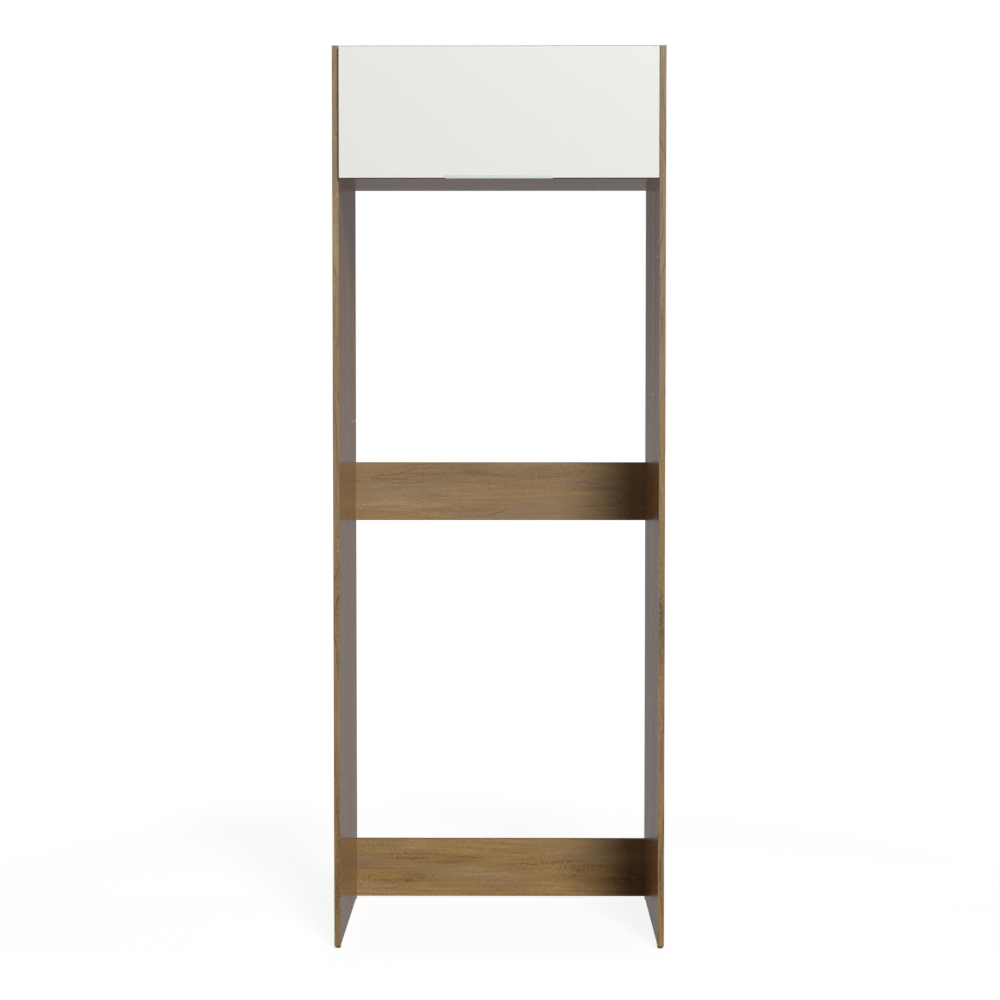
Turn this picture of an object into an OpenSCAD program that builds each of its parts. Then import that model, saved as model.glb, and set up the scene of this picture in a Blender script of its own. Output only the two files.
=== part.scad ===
/* [Cabinet] */
// Overall width across the two side panels
cabinet_w = 800; // [700:1:1000]
// Depth of the side panels, front edge to rear edge
cabinet_d = 580; // [500:1:680]
// Overall height from the floor
cabinet_h = 2180; // [2050:1:2400]
// Thickness of the boards
board_t = 15; // [15:1:19]
// Thickness of the edge banding
band_t = 1; // [0.6:0.1:2]

/* [Top box] */
// Height of the box's underside above the floor
underside_z = 1889; // [1700:1:1950]
// How far the box's front edges stand behind the side panels' front edges
box_setback = 8.5; // [8:0.5:14]
// Thickness of the back panel
back_t = 3; // [3:0.5:6]

/* [Back rails] */
// Height of each rail
rail_h = 154; // [120:1:220]
// Height of the middle rail's lower edge above the floor
middle_rail_z = 1016; // [600:1:1400]

/* [Feet] */
// Diameter of a glide foot
foot_d = 15; // [12:1:15]
// Height of a glide foot
foot_h = 8; // [5:1:15]
// Radius of the foot's rounded lower rim
foot_round_r = 2; // [1:0.5:3]
// Distance from a foot's centre to the nearer edge of its side panel
foot_inset = 20; // [15:1:60]
// Diameter of the nail in a foot
foot_nail_d = 2.5; // [2:0.1:3.5]
// How far a foot's nail goes into the side panel
foot_nail_reach = 14; // [10:1:25]

/* [Flap door] */
// Thickness of the door
door_t = 18; // [16:0.5:22]
// How far the door hangs below the box's underside
door_overhang = 26; // [15:1:40]
// How far the door's top edge stays below the cabinet's top
door_top_reveal = 3; // [3:0.5:8]
// Gap between the door and each side panel
door_side_gap = 1.5; // [1.5:0.5:4]
// Gap between the door's back and the box's front edges
door_rear_gap = 4.5; // [4.5:0.5:6]
// Diameter of a bumper on the door's back
bumper_d = 8; // [6:1:12]
// Distance from a bumper's centre to the door's side edge
bumper_inset = 30; // [15:1:60]

/* [Handle] */
// Length of the edge pull
handle_l = 258; // [120:1:500]
// Height of the lip that shows on the door's face
handle_lip_h = 8; // [6:0.5:14]
// Height of the flange screwed to the door's back
handle_flange_h = 30; // [24:1:45]
// Thickness of the pull's metal
handle_t = 1.5; // [1.2:0.1:2.5]
// Distance between the outer handle screws
handle_screw_span = 200; // [80:1:240]
// Height of the handle screws above the door's bottom edge
handle_screw_rise = 15; // [12:1:20]

/* [Hinges] */
// Distance from a hinge's centre to the door's side edge
hinge_inset = 100; // [80:1:180]
// Diameter of the hinge cup
cup_d = 35; // [35:1:40]
// Depth of the cup's bore in the door
cup_depth = 13; // [12.5:0.5:14]
// Wood left between the cup's bore and the door's top edge
cup_rim = 4; // [3.5:0.5:6]
// Radius of the hinge arm's eye round the pin
arm_eye_r = 2.7; // [2.4:0.1:2.8]
// Distance of the hinge pin below the door's top edge
pin_from_top = 9; // [8.5:0.1:9.3]
// Diameter of the hinge pin
pin_d = 2.8; // [2.4:0.1:3]
// Length of the hinge pin
pin_l = 16; // [14:0.5:17]
// Width of the hinge arm
arm_w = 9; // [7:0.5:9.5]
// Thickness of the hinge arm's metal
arm_t = 3; // [2:0.5:3.5]
// How far the arm's flat part runs below the hinge pin
arm_drop = 11; // [10.8:0.1:12]
// Distance between the screws of a hinge cup
cup_screw_span = 48; // [42:1:56]
// Length of the hinge plate, front to rear
hinge_plate_l = 32; // [24:1:50]
// Width of the hinge plate
hinge_plate_w = 50; // [44:1:60]
// Distance from the box's front edge to the hinge plate
hinge_plate_inset = 18; // [12:1:40]
// Distance between the screws of a hinge plate
hinge_plate_screw_span = 32; // [28:1:34]

/* [Stays] */
// Distance of the lever's pivot behind the hinge pin
stay_pivot_back = 75; // [60:1:110]
// Distance of the lever's pivot below the hinge pin
stay_pivot_drop = 50; // [35:1:80]
// Distance of the door bracket's pivot below the hinge pin
bracket_drop = 110; // [90:1:140]
// Distance of the door bracket's pivot behind the door's back face
bracket_back = 16; // [12:1:24]
// Width of the lever and of the link
stay_bar_w = 16; // [12:1:20]
// Thickness of the lever and of the link
stay_bar_t = 2.5; // [2:0.1:4]
// Thickness of the stay's base plate and bracket
stay_plate_t = 2; // [1.5:0.1:3]
// Length of the stay's base plate, from the lever's pivot to its rear screws
stay_base_l = 32; // [26:1:60]
// Height of the stay's base plate
stay_base_h = 36; // [32:1:50]
// Distance between the screws of the stay's base plate
stay_screw_span = 18; // [14:1:20]
// Thickness of the friction washer
washer_t = 1.3; // [0.8:0.1:2]
// Diameter of the lever's pivot bolt
stay_bolt_d = 6; // [5:0.5:8]
// Diameter of the rivets
rivet_d = 5; // [4:0.5:6]

/* [Joints between the boards] */
// Diameter of a cam lock
cam_d = 15; // [12:1:18]
// Height of a cam lock
cam_h = 12.5; // [12:0.5:13.5]
// Distance from a board's end to its cam locks
cam_inset = 34; // [24:1:40]
// Distance from the box's front and rear edges to its cam locks
cam_edge = 50; // [40:1:90]
// Distance between the two cam locks at a rail's end
rail_cam_span = 96; // [64:1:110]
// Diameter of a cam bolt's shank
cam_bolt_d = 6; // [5:0.5:7]
// How far a cam bolt's thread goes into a side panel
cam_bolt_reach = 10; // [8:0.5:11]
// Diameter of a wooden dowel
dowel_d = 8; // [6:1:8]
// Length of a wooden dowel
dowel_l = 30; // [25:1:40]
// How far a dowel goes into a side panel
dowel_reach = 10; // [8:0.5:11]
// Distance from a cam lock to the dowel beside it in the box
dowel_offset = 64; // [32:1:96]
// Number of nails along each edge of the back panel
nail_count = 6; // [3:1:10]
// Length of a back panel nail
nail_l = 25; // [20:1:30]
// Diameter of a back panel nail
nail_d = 1.6; // [1.2:0.1:2]

/* [Wall brackets] */
// Distance between the two wall screw holes
wall_hole_span = 650; // [300:1:660]
// Diameter of a wall screw hole
wall_hole_d = 6; // [5:0.5:8]
// Length of each leg of a wall bracket
wall_bracket_leg = 40; // [30:1:60]
// Width of a wall bracket
wall_bracket_w = 20; // [16:1:40]
// Thickness of a wall bracket's metal
wall_bracket_t = 2; // [1.5:0.5:3]
// Distance of the wall hole below the top panel's underside
wall_hole_drop = 25; // [20:1:30]

/* [Screws and fits] */
// Diameter of a board screw's shank
screw_d = 3.5; // [3:0.5:4]
// Diameter of a board screw's head
screw_head_d = 7; // [6:0.5:8]
// Height of a board screw's head
screw_head_h = 1.8; // [1.2:0.1:2.5]
// How far a board screw goes into a board
screw_reach = 11; // [9:0.5:12]
// Radial clearance around a fixed fastener
fit_gap = 0.1; // [0.05:0.05:0.2]
// Radial clearance of a turning joint
run_gap = 0.05; // [0.03:0.01:0.08]
// Radial clearance of a pin in the piece that holds it
pin_gap = 0.025; // [0.01:0.005:0.03]
// Gap between flat faces that move past each other
slide_gap = 0.2; // [0.1:0.1:0.5]

/* [Hidden] */
$fn = 48;

wood = [0.57, 0.47, 0.34];
off_white = [0.92, 0.91, 0.89];
dark_band = [0.16, 0.15, 0.14];
aluminium = [0.83, 0.85, 0.82];
steel = [0.72, 0.73, 0.74];
nylon = [0.62, 0.61, 0.58];
beech = [0.80, 0.66, 0.46];

// Cutters run this far past a face
over = 1;

// Overall places, with y counted from the side panels' front edges
inner_w = cabinet_w - 2 * board_t;
inner_x = inner_w / 2;
panel_h = cabinet_h - foot_h;
top_z = cabinet_h - board_t;
box_front_y = box_setback + band_t;
box_rear_y = cabinet_d - back_t;
box_d = box_rear_y - box_front_y;
rail_front_y = cabinet_d - board_t;
lower_rail_z = foot_h;
back_side_gap = 0.5;

// The door
door_w = inner_w - 2 * door_side_gap;
door_bottom_z = underside_z - door_overhang;
door_top_z = cabinet_h - door_top_reveal;
door_h = door_top_z - door_bottom_z;
door_back_y = box_setback - door_rear_gap;
door_front_y = door_back_y - door_t;
bumper_clearance = 0.3;

// The handle is the frontmost piece, and the part is centred front to rear
front_reach = handle_t - door_front_y;
front_y = (front_reach - cabinet_d) / 2;
handle_corner_r = 1.2;
handle_corner_steps = 6;

// The hinges: the pin lies as deep in the cup as the arm's eye allows
hinge_x = door_w / 2 - hinge_inset;
cup_floor_t = 1;
eye_floor_gap = 0.2;
pin_from_back = cup_depth - fit_gap - cup_floor_t - eye_floor_gap - arm_eye_r;
pin_y = door_back_y - pin_from_back;
pin_z = door_top_z - pin_from_top;
pin_r = pin_d / 2;
cup_r = cup_d / 2;
cup_z = door_top_z - cup_rim - cup_r;
cup_wall_t = 2;
cup_lip = 1;
cup_flange_t = 1.2;
cup_ear_h = 11;
cup_ear_end = 5;
cheek_w = 4;
cheek_below_pin = 4;
pocket_side_gap = 0.5;
pocket_above_pin = arm_eye_r + pocket_side_gap;
pocket_below_arm = 3;
arm_neck_w = 4.8;
arm_top_z = pin_z - arm_drop;
hinge_plate_y = box_setback + hinge_plate_inset;
hinge_plate_base_t = 2;
hinge_plate_block_w = 13;
hinge_screw_y = hinge_plate_y + hinge_plate_l / 2;
arm_screw_d = 5;
arm_screw_head_d = 8;
arm_screw_head_h = 2;

// The stays: s is the distance from the side panel's inner face
stay_pivot_y = pin_y + stay_pivot_back;
stay_pivot_z = pin_z - stay_pivot_drop;
bracket_y = door_back_y + bracket_back;
bracket_z = pin_z - bracket_drop;
knee_y = bracket_y + stay_pivot_back;
knee_z = bracket_z - stay_pivot_drop;
lever_s = stay_plate_t + washer_t + slide_gap;
link_s = lever_s + stay_bar_t + slide_gap;
bracket_s = link_s + stay_bar_t + slide_gap;
stay_reach = bracket_s + stay_plate_t + over;
stay_bolt_r = stay_bolt_d / 2;
stay_bolt_head_r = 6;
stay_bolt_head_h = 3;
rivet_r = rivet_d / 2;
rivet_head_r = 4;
rivet_head_t = 1;
washer_r = 10;
bracket_foot_w = 24;
bracket_foot_h = 36;
bracket_screw_span = 20;

// The joints between the boards
cam_r = cam_d / 2;
cam_bore_extra = 0.2;
cam_bolt_r = cam_bolt_d / 2;
cam_neck_r = 1.8;
cam_neck_l = 4;
cam_head_r = 3.2;
cam_head_l = 3;
cam_head_past_centre = 1;
cam_bolt_l = cam_inset + cam_head_past_centre;
cam_ys = [box_setback + cam_edge, box_rear_y - cam_edge];
dowel_ys = [cam_ys[0] + dowel_offset, cam_ys[1] - dowel_offset];
dowel_r = dowel_d / 2;
rail_zs = [lower_rail_z, middle_rail_z];
rail_cam_hs = [(rail_h - rail_cam_span) / 2, (rail_h + rail_cam_span) / 2];
box_zs = [underside_z, top_z];
drive_w = 1;
drive_depth = 0.8;
recess_l = 3.5;
screw_head_taper = 1;
nail_head_r = 2.4;
nail_head_t = 0.8;
nail_end_gap = 45;
nail_pitch = (inner_w - 2 * nail_end_gap) / (nail_count - 1);
wall_hole_z = top_z - wall_hole_drop;

// Placing helpers

module placed() {
    translate([0, front_y, 0]) children();
}

module on_side(side) {
    if (side == "right") mirror([1, 0, 0]) children();
    else children();
}

module both_sides() {
    on_side("left") children();
    on_side("right") children();
}

// A cylinder that starts at the origin and runs into the part, towards -y
module inward_rod(r, l) {
    rotate([90, 0, 0]) cylinder(r = r, h = l);
}

// A cylinder that starts at the origin and runs towards +x
module cross_rod(r, l) {
    rotate([0, 90, 0]) cylinder(r = r, h = l);
}

// A pan head screw: the head's seat is at the origin and the shank runs towards +z
module pan_screw(shank_d, shank_l, head_d, head_h) {
    difference() {
        union() {
            cylinder(d = shank_d, h = shank_l);
            translate([0, 0, -head_h])
                cylinder(r1 = head_d / 2 - screw_head_taper, r2 = head_d / 2, h = head_h);
        }
        for (turn = [0, 90]) rotate([0, 0, turn])
            translate([-recess_l / 2, -drive_w / 2, -head_h - over])
                cube([recess_l, drive_w, drive_depth + over]);
    }
}

module board_screw(plate_t) {
    pan_screw(screw_d, plate_t + screw_reach, screw_head_d, screw_head_h);
}

module screw_bore(l) {
    cylinder(d = screw_d + 2 * fit_gap, h = l);
}

// Joints between a board's end and the left side panel, drawn for a board lying on z = 0

module cam_bores() {
    translate([-inner_x - over, 0, board_t / 2]) cross_rod(cam_head_r + fit_gap, cam_inset + over);
    translate([cam_inset - inner_x, 0, board_t - cam_h - cam_bore_extra])
        cylinder(r = cam_r + fit_gap, h = cam_h + cam_bore_extra + over);
}

module cam_lock() {
    slot_w = 2 * (cam_head_r + fit_gap);
    color(steel) translate([cam_inset - inner_x, 0, 0]) difference() {
        translate([0, 0, board_t - cam_h]) cylinder(r = cam_r, h = cam_h);
        translate([-cam_r - over, -slot_w / 2, board_t / 2 - slot_w / 2])
            cube([cam_r + over + cam_head_l, slot_w, slot_w]);
        for (turn = [45, 135]) translate([0, 0, board_t - drive_depth]) rotate([0, 0, turn])
            translate([-cam_r / 2, -drive_w / 2, 0]) cube([cam_r, drive_w, drive_depth + over]);
    }
}

module cam_bolt() {
    neck_x = cam_bolt_l - cam_head_l - cam_neck_l;
    color(steel) translate([-inner_x, 0, board_t / 2]) {
        translate([-cam_bolt_reach, 0, 0]) cross_rod(cam_bolt_r, cam_bolt_reach + neck_x);
        translate([neck_x, 0, 0]) cross_rod(cam_neck_r, cam_neck_l);
        translate([cam_bolt_l - cam_head_l, 0, 0]) cross_rod(cam_head_r, cam_head_l);
    }
}

module side_bolt_bore() {
    translate([-inner_x - cam_bolt_reach - cam_bore_extra, 0, board_t / 2])
        cross_rod(cam_bolt_r + fit_gap, cam_bolt_reach + cam_bore_extra + over);
}

module dowel(gap) {
    translate([-inner_x - dowel_reach - gap, 0, board_t / 2]) cross_rod(dowel_r + gap, dowel_l + 2 * gap);
}

module at_box_ys(z, ys) {
    for (y = ys) translate([0, y, z]) children();
}

module at_rail_heights(z, heights) {
    for (h = heights) translate([0, rail_front_y, z + h]) rotate([-90, 0, 0]) children();
}

module at_all_cams() {
    for (z = box_zs) at_box_ys(z, cam_ys) children();
    for (z = rail_zs) at_rail_heights(z, rail_cam_hs) children();
}

module at_all_dowels() {
    for (z = box_zs) at_box_ys(z, dowel_ys) children();
    for (z = rail_zs) at_rail_heights(z, [rail_h / 2]) children();
}

// Boards

module side_panel(side) {
    color(wood) placed() on_side(side) difference() {
        translate([-cabinet_w / 2, band_t, foot_h]) cube([board_t, cabinet_d - band_t, panel_h]);
        at_all_cams() side_bolt_bore();
        at_all_dowels() dowel(fit_gap);
        for (y = [foot_inset, cabinet_d - foot_inset])
            translate([board_t / 2 - cabinet_w / 2, y, foot_h - over])
                cylinder(d = foot_nail_d + 2 * fit_gap, h = foot_nail_reach + fit_gap + over);
        at_stay_base_screws() screw_bore(stay_plate_t + screw_reach + fit_gap);
    }
}

module side_edge_band(side) {
    color(wood) placed() on_side(side)
        translate([-cabinet_w / 2, 0, foot_h]) cube([board_t, band_t, panel_h]);
}

module at_nails(z) {
    for (i = [0 : nail_count - 1])
        translate([nail_end_gap - inner_x + i * nail_pitch, cabinet_d, z + board_t / 2]) children();
}

module nail_bore() {
    inward_rod(nail_d / 2 + fit_gap, nail_l + fit_gap);
}

module box_panel(z) {
    difference() {
        translate([-inner_x, box_front_y, z]) cube([inner_w, box_d, board_t]);
        both_sides() at_box_ys(z, cam_ys) cam_bores();
        both_sides() at_box_ys(z, dowel_ys) dowel(fit_gap);
        at_nails(z) nail_bore();
    }
}

module top_panel() {
    color(wood) placed() difference() {
        box_panel(top_z);
        both_sides() at_hinge_plate_screws() screw_bore(hinge_plate_base_t + screw_reach + fit_gap);
        both_sides() at_wall_bracket_screw() screw_bore(wall_bracket_t + screw_reach + fit_gap);
    }
}

module bottom_panel() {
    color(wood) placed() box_panel(underside_z);
}

module box_edge_band(z) {
    color(wood) placed() translate([-inner_x, box_setback, z]) cube([inner_w, band_t, board_t]);
}

module back_panel() {
    color(off_white) placed() difference() {
        translate([back_side_gap - inner_x, box_rear_y, underside_z + back_side_gap])
            cube([inner_w - 2 * back_side_gap, back_t, cabinet_h - underside_z - 2 * back_side_gap]);
        for (z = box_zs) at_nails(z) {
            nail_bore();
            translate([0, over, 0]) inward_rod(nail_head_r + fit_gap, nail_head_t + over);
        }
        both_sides() at_wall_hole() inward_rod(wall_hole_d / 2, back_t + 2 * over);
    }
}

module back_panel_nails() {
    color(steel) placed() for (z = box_zs) at_nails(z) {
        inward_rod(nail_d / 2, nail_l);
        inward_rod(nail_head_r, nail_head_t);
    }
}

module rail(z) {
    color(wood) placed() difference() {
        translate([-inner_x, rail_front_y, z + band_t]) cube([inner_w, board_t, rail_h - 2 * band_t]);
        both_sides() at_rail_heights(z, rail_cam_hs) cam_bores();
        both_sides() at_rail_heights(z, [rail_h / 2]) dowel(fit_gap);
    }
}

module rail_edge_bands(z) {
    color(wood) placed() for (h = [0, rail_h - band_t])
        translate([-inner_x, rail_front_y, z + h]) cube([inner_w, board_t, band_t]);
}

module cam_locks() {
    placed() both_sides() at_all_cams() cam_lock();
}

module cam_bolts() {
    placed() both_sides() at_all_cams() cam_bolt();
}

module wood_dowels() {
    color(beech) placed() both_sides() at_all_dowels() dowel(0);
}

// Feet

foot_profile = [
    [0, 0],
    for (a = [-90 : 15 : 0])
        [foot_d / 2 - foot_round_r * (1 - cos(a)), foot_round_r * (1 + sin(a))],
    [foot_d / 2, foot_h],
    [0, foot_h]];
foot_nail_z = 3;

module foot(side, y) {
    color(nylon) placed() on_side(side) translate([board_t / 2 - cabinet_w / 2, y, 0]) difference() {
        rotate_extrude() polygon(foot_profile);
        translate([0, 0, foot_nail_z - fit_gap]) cylinder(d = foot_nail_d + 2 * fit_gap, h = foot_h);
    }
}

module foot_nails() {
    color(steel) placed() both_sides() for (y = [foot_inset, cabinet_d - foot_inset])
        translate([board_t / 2 - cabinet_w / 2, y, foot_nail_z])
            cylinder(d = foot_nail_d, h = foot_h - foot_nail_z + foot_nail_reach);
}

// Door

module door_panel() {
    color(off_white) placed() difference() {
        translate([band_t - door_w / 2, door_front_y, door_bottom_z + band_t])
            cube([door_w - 2 * band_t, door_t, door_h - 2 * band_t]);
        both_sides() {
            translate([-hinge_x, door_back_y + over, cup_z]) inward_rod(cup_r, cup_depth + over);
            at_cup_screws() screw_bore(cup_flange_t + screw_reach + fit_gap);
            at_bracket_screws() screw_bore(stay_plate_t + screw_reach + fit_gap);
        }
        at_handle_screws() screw_bore(handle_t + screw_reach + fit_gap);
    }
}

module door_edge_band() {
    color(dark_band) placed() difference() {
        translate([-door_w / 2, door_front_y, door_bottom_z]) cube([door_w, door_t, door_h]);
        translate([band_t - door_w / 2, door_front_y - over, door_bottom_z + band_t])
            cube([door_w - 2 * band_t, door_t + 2 * over, door_h - 2 * band_t]);
    }
}

module door_bumpers() {
    bumper_l = door_rear_gap - bumper_clearance;
    color(nylon) placed() both_sides()
        translate([bumper_inset - door_w / 2, door_back_y + bumper_l, underside_z + board_t / 2])
            inward_rod(bumper_d / 2, bumper_l);
}

// The handle's section, with its outer lower corners rounded: first value y, second value z
handle_y0 = door_front_y - handle_t;
handle_y1 = door_back_y + handle_t;
handle_z0 = door_bottom_z - handle_t;
handle_profile = [
    for (i = [0 : handle_corner_steps]) let (a = 180 + 90 * i / handle_corner_steps)
        [handle_y0 + handle_corner_r * (1 + cos(a)), handle_z0 + handle_corner_r * (1 + sin(a))],
    for (i = [0 : handle_corner_steps]) let (a = 270 + 90 * i / handle_corner_steps)
        [handle_y1 - handle_corner_r * (1 - cos(a)), handle_z0 + handle_corner_r * (1 + sin(a))],
    [handle_y1, handle_z0 + handle_flange_h],
    [door_back_y, handle_z0 + handle_flange_h],
    [door_back_y, door_bottom_z],
    [door_front_y, door_bottom_z],
    [door_front_y, handle_z0 + handle_lip_h],
    [handle_y0, handle_z0 + handle_lip_h]];

module at_handle_screws() {
    for (x = [-handle_screw_span / 2, 0, handle_screw_span / 2])
        translate([x, door_back_y + handle_t, door_bottom_z + handle_screw_rise])
            rotate([90, 0, 0]) children();
}

module handle() {
    color(aluminium) placed() difference() {
        translate([-handle_l / 2, 0, 0]) rotate([90, 0, 90]) linear_extrude(handle_l) polygon(handle_profile);
        at_handle_screws() translate([0, 0, -over]) screw_bore(handle_t + over + fit_gap);
    }
}

module handle_screws() {
    color(steel) placed() at_handle_screws() board_screw(handle_t);
}

// Hinges, drawn for the left one

module at_cup_screws() {
    for (x = [-cup_screw_span / 2, cup_screw_span / 2])
        translate([x - hinge_x, door_back_y + cup_flange_t, cup_z]) rotate([90, 0, 0]) children();
}

module hinge_cup(side) {
    ear_w = cup_screw_span + 2 * cup_ear_end;
    shell_r = cup_r - fit_gap;
    hollow_r = cup_r - cup_wall_t;
    cheek_span = arm_w + 2 * pocket_side_gap + 2 * cheek_w;
    pocket_w = arm_w + 2 * pocket_side_gap;
    pocket_bottom_z = arm_top_z - arm_t - pocket_below_arm;
    color(steel) placed() on_side(side) difference() {
        translate([-hinge_x, door_back_y, cup_z]) union() {
            difference() {
                union() {
                    inward_rod(shell_r, cup_depth - fit_gap);
                    translate([0, cup_flange_t, 0]) inward_rod(cup_r + cup_lip, cup_flange_t);
                    translate([-ear_w / 2, 0, -cup_ear_h / 2]) cube([ear_w, cup_flange_t, cup_ear_h]);
                }
                translate([0, cup_flange_t + over, 0])
                    inward_rod(hollow_r, cup_depth - fit_gap - cup_floor_t + cup_flange_t + over);
            }
            intersection() {
                inward_rod(shell_r, cup_depth - fit_gap);
                translate([-cheek_span / 2, -cup_depth, pin_z - cup_z - cheek_below_pin])
                    cube([cheek_span, cup_depth, cup_d]);
            }
        }
        translate([-hinge_x - pocket_w / 2, door_back_y - cup_depth + fit_gap + cup_floor_t, pocket_bottom_z])
            cube([pocket_w, cup_depth + cup_flange_t, pin_z + pocket_above_pin - pocket_bottom_z]);
        translate([-hinge_x - cup_r, pin_y, pin_z]) cross_rod(pin_r + pin_gap, cup_d);
        at_cup_screws() translate([0, 0, -over]) screw_bore(cup_flange_t + over + fit_gap);
    }
}

module hinge_pin(side) {
    color(steel) placed() on_side(side)
        translate([-hinge_x - pin_l / 2, pin_y, pin_z]) cross_rod(pin_r, pin_l);
}

// The arm's side view: an eye round the pin, a neck down from it and a flat part to the rear
module arm_profile() {
    translate([pin_y, pin_z]) circle(r = arm_eye_r);
    translate([pin_y - arm_neck_w / 2, arm_top_z - arm_t]) square([arm_neck_w, pin_z - arm_top_z + arm_t]);
    translate([pin_y - arm_neck_w / 2, arm_top_z - arm_t])
        square([hinge_plate_y + hinge_plate_l - pin_y + arm_neck_w / 2, arm_t]);
}

module at_arm_screw() {
    translate([-hinge_x, hinge_screw_y, arm_top_z - arm_t]) children();
}

module hinge_arm(side) {
    color(steel) placed() on_side(side) difference() {
        translate([-hinge_x - arm_w / 2, 0, 0]) rotate([90, 0, 90]) linear_extrude(arm_w) arm_profile();
        translate([-hinge_x - arm_w / 2 - over, pin_y, pin_z])
            cross_rod(pin_r + run_gap, arm_w + 2 * over);
        at_arm_screw() translate([0, 0, -over]) cylinder(d = arm_screw_d + 2 * fit_gap, h = arm_t + 2 * over);
    }
}

module at_hinge_plate_screws() {
    for (x = [-hinge_plate_screw_span / 2, hinge_plate_screw_span / 2])
        translate([x - hinge_x, hinge_screw_y, top_z - hinge_plate_base_t]) children();
}

module hinge_plate(side) {
    color(steel) placed() on_side(side) difference() {
        union() {
            translate([-hinge_x - hinge_plate_w / 2, hinge_plate_y, top_z - hinge_plate_base_t])
                cube([hinge_plate_w, hinge_plate_l, hinge_plate_base_t]);
            translate([-hinge_x - hinge_plate_block_w / 2, hinge_plate_y, arm_top_z])
                cube([hinge_plate_block_w, hinge_plate_l, top_z - arm_top_z]);
        }
        at_hinge_plate_screws() translate([0, 0, -over]) screw_bore(hinge_plate_base_t + 2 * over);
        at_arm_screw() cylinder(d = arm_screw_d + 2 * fit_gap, h = top_z - arm_top_z + arm_t + over);
    }
}

module hinge_cup_screws() {
    color(steel) placed() both_sides() at_cup_screws() board_screw(cup_flange_t);
}

module hinge_plate_screws() {
    color(steel) placed() both_sides() at_hinge_plate_screws() board_screw(hinge_plate_base_t);
}

module hinge_arm_screws() {
    color(steel) placed() both_sides() at_arm_screw()
        pan_screw(arm_screw_d, arm_t + top_z - arm_top_z - fit_gap, arm_screw_head_d, arm_screw_head_h);
}

// Stays, drawn for the left one

// Puts a flat shape, drawn as [y, z], at a distance from the side panel's inner face
module stay_plate(s, t) {
    translate([s - inner_x, 0, 0]) rotate([90, 0, 90]) linear_extrude(t) children();
}

module stay_rod(y, z, s, r, l) {
    translate([s - inner_x, y, z]) cross_rod(r, l);
}

// A flat bar with round ends between two points of the stay's plane
module stay_bar(s, t, a, b, w) {
    run = b - a;
    translate([s - inner_x, a[0], a[1]]) rotate([90, 0, 90]) rotate(atan2(run[1], run[0])) {
        translate([0, -w / 2, 0]) cube([norm(run), w, t]);
        cylinder(d = w, h = t);
        translate([norm(run), 0, 0]) cylinder(d = w, h = t);
    }
}

stay_pivot = [stay_pivot_y, stay_pivot_z];
stay_knee = [knee_y, knee_z];
stay_end = [bracket_y, bracket_z];

stay_base_end = [stay_pivot_y + stay_base_l, stay_pivot_z];

module at_stay_base_screws() {
    for (z = [-stay_screw_span / 2, stay_screw_span / 2])
        translate([stay_plate_t - inner_x, stay_base_end[0], stay_base_end[1] + z])
            rotate([0, -90, 0]) children();
}

module stay_base(side) {
    color(steel) placed() on_side(side) difference() {
        stay_bar(0, stay_plate_t, stay_pivot, stay_base_end, stay_base_h);
        stay_rod(stay_pivot_y, stay_pivot_z, -over, stay_bolt_r + fit_gap, stay_plate_t + 2 * over);
        at_stay_base_screws() translate([0, 0, -over]) screw_bore(stay_plate_t + 2 * over);
    }
}

module stay_washer(side) {
    color(nylon) placed() on_side(side) difference() {
        stay_rod(stay_pivot_y, stay_pivot_z, stay_plate_t, washer_r, washer_t);
        stay_rod(stay_pivot_y, stay_pivot_z, 0, stay_bolt_r + fit_gap, stay_plate_t + washer_t + over);
    }
}

module stay_bolt(side) {
    head_s = lever_s + stay_bar_t + slide_gap;
    color(steel) placed() on_side(side) difference() {
        union() {
            stay_rod(stay_pivot_y, stay_pivot_z, 0, stay_bolt_r, head_s);
            stay_rod(stay_pivot_y, stay_pivot_z, head_s, stay_bolt_head_r, stay_bolt_head_h);
        }
        translate([head_s + stay_bolt_head_h - drive_depth - inner_x, stay_pivot_y - drive_w / 2,
                stay_pivot_z - stay_bolt_head_r - over])
            cube([drive_depth + over, drive_w, 2 * (stay_bolt_head_r + over)]);
    }
}

module stay_lever(side) {
    color(steel) placed() on_side(side) difference() {
        stay_bar(lever_s, stay_bar_t, stay_pivot, stay_knee, stay_bar_w);
        stay_rod(stay_pivot_y, stay_pivot_z, 0, stay_bolt_r + run_gap, stay_reach);
        stay_rod(knee_y, knee_z, 0, rivet_r + pin_gap, stay_reach);
    }
}

module stay_link(side) {
    color(steel) placed() on_side(side) difference() {
        stay_bar(link_s, stay_bar_t, stay_knee, stay_end, stay_bar_w);
        for (p = [stay_knee, stay_end]) stay_rod(p[0], p[1], 0, rivet_r + run_gap, stay_reach);
    }
}

// A rivet that holds two plates, from s0 to s1, with a head outside each
module rivet(p, s0, s1) {
    stay_rod(p[0], p[1], s0, rivet_r, s1 - s0);
    stay_rod(p[0], p[1], s0 - rivet_head_t, rivet_head_r, rivet_head_t);
    stay_rod(p[0], p[1], s1, rivet_head_r, rivet_head_t);
}

module stay_rivet(side) {
    color(steel) placed() on_side(side) rivet(stay_knee, lever_s, link_s + stay_bar_t + slide_gap);
}

module bracket_rivet(side) {
    color(steel) placed() on_side(side) rivet(stay_end, link_s - slide_gap, bracket_s + stay_plate_t);
}

module at_bracket_screws() {
    screw_s = bracket_s + stay_plate_t + bracket_foot_w / 2;
    for (z = [-bracket_screw_span / 2, bracket_screw_span / 2])
        translate([screw_s - inner_x, door_back_y + stay_plate_t, bracket_z + z])
            rotate([90, 0, 0]) children();
}

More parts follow.
